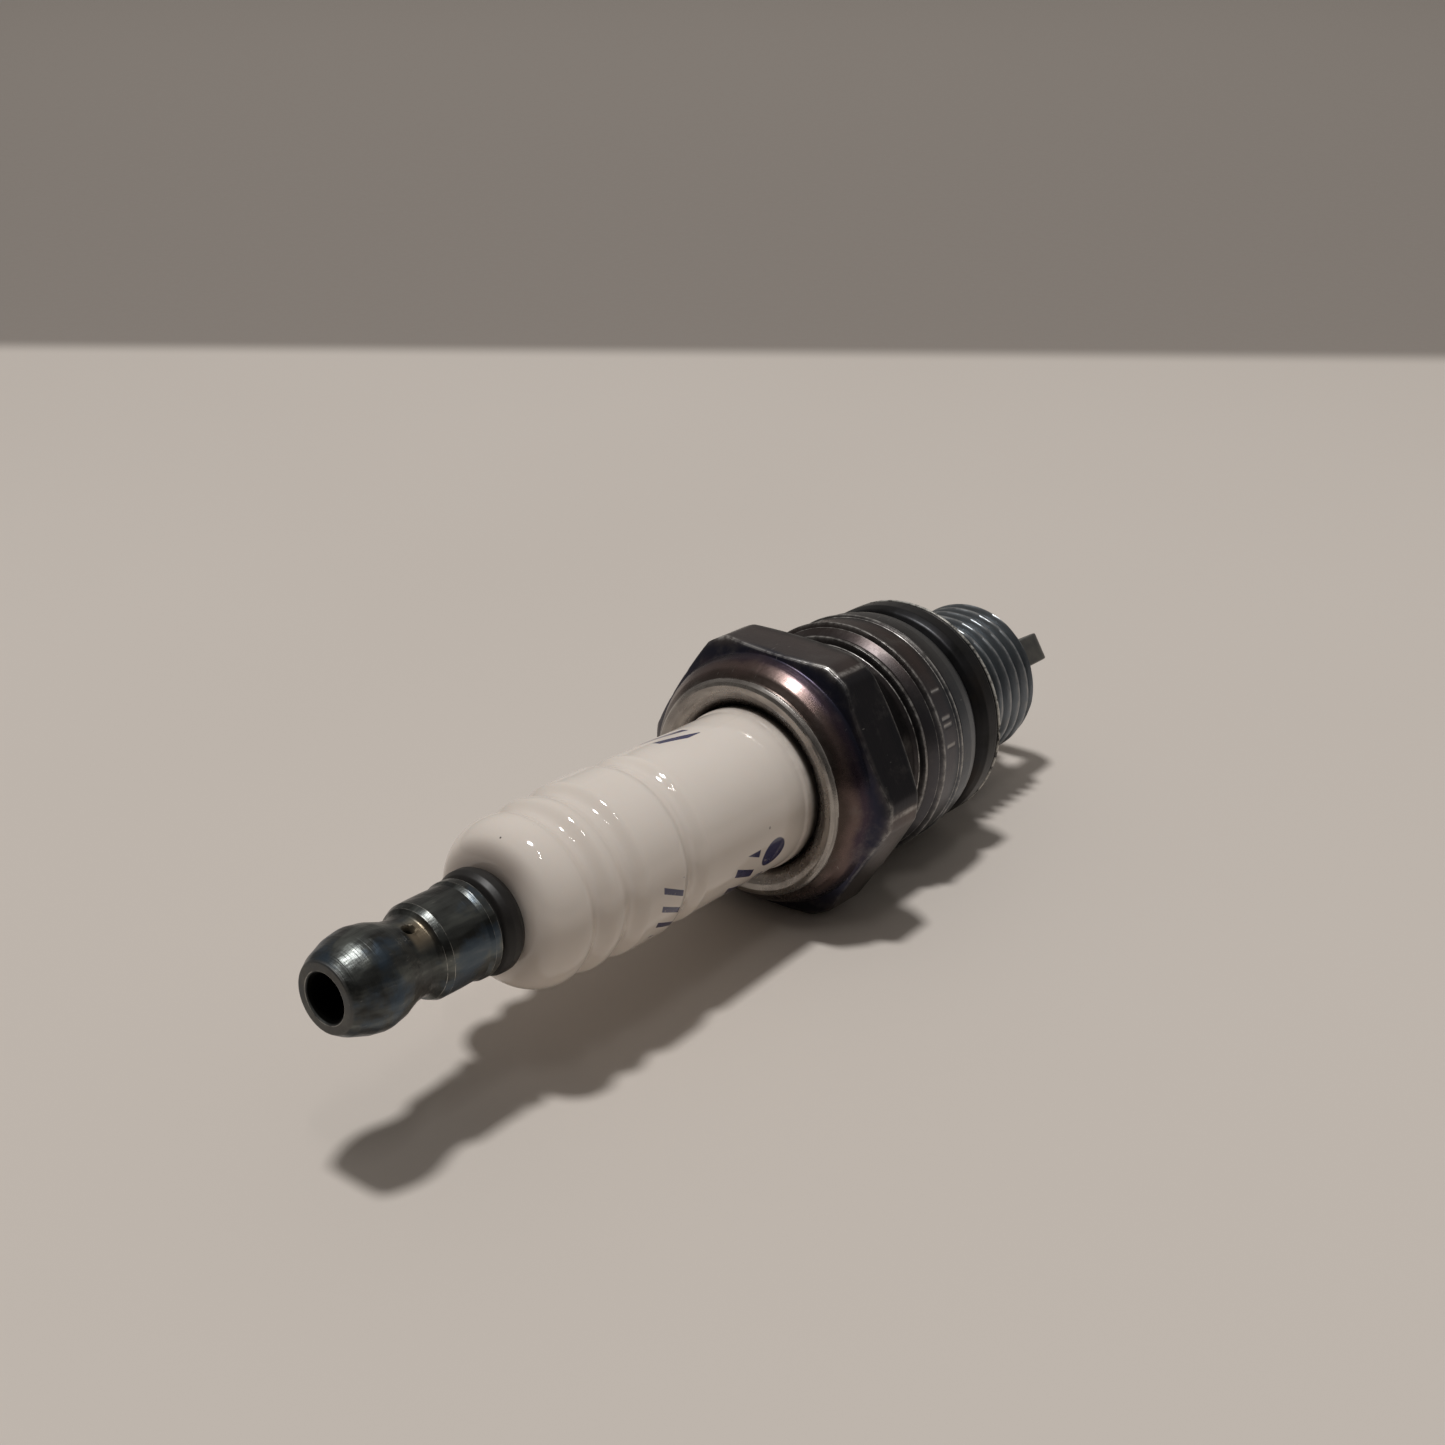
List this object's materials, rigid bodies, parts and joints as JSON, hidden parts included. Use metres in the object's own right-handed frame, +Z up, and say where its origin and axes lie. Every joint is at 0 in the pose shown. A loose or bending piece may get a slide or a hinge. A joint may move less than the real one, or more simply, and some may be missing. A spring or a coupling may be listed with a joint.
{
  "type": "spark plug",
  "caption": "Spark plug with threaded shell, hexagon, crush gasket, ribbed glazed insulator, bent ground strap and a screw-off terminal nut.",
  "frame": {"origin": "middle of the plug's length, under its axis, on the surface it lies on", "axes": "+X along the plug's axis towards the terminal nut, +Z up, square to the hexagon flat it lies on"},
  "size_m": [0.0722, 0.0208, 0.019],
  "materials": {
    "terminal_nut": "blued zinc, satin",
    "terminal_stud": "blackened steel",
    "insulator": "glossy off-white glaze",
    "upper_glass_seal": "dark conductive glass",
    "resistor": "black resistor compound",
    "lower_glass_seal": "dark conductive glass",
    "centre_electrode": "nickel alloy",
    "centre_electrode_core": "copper",
    "shell": "blued steel with heat tint",
    "upper_packing_ring": "bare wire",
    "lower_packing_ring": "bare wire",
    "talc_fill": "packed powder",
    "inner_seat_washer": "bare sheet",
    "outer_gasket": "blued sheet steel, folded",
    "ground_electrode": "nickel alloy, matt"
  },
  "bodies": {
    "plug": {"terminal_stud": "terminal_stud", "insulator": "insulator", "upper_glass_seal": "upper_glass_seal", "resistor": "resistor", "lower_glass_seal": "lower_glass_seal", "centre_electrode": "centre_electrode", "centre_electrode_core": "centre_electrode_core", "shell": "shell", "upper_packing_ring": "upper_packing_ring", "lower_packing_ring": "lower_packing_ring", "talc_fill": "talc_fill", "inner_seat_washer": "inner_seat_washer", "ground_electrode": "ground_electrode"},
    "terminal_nut_body": {"terminal_nut": "terminal_nut"},
    "gasket_body": {"outer_gasket": "outer_gasket"}
  },
  "joints": [
    {"name": "terminal_nut_off", "type": "slide", "parent": "plug", "child": "terminal_nut_body", "axis": [1, 0, 0], "range_m": [0, 0.0081]},
    {"name": "gasket_spin", "type": "hinge", "parent": "plug", "child": "gasket_body", "pos_m": [-0.02098, 0, 0.0095], "axis": [1, 0, 0], "continuous": true}
  ]
}
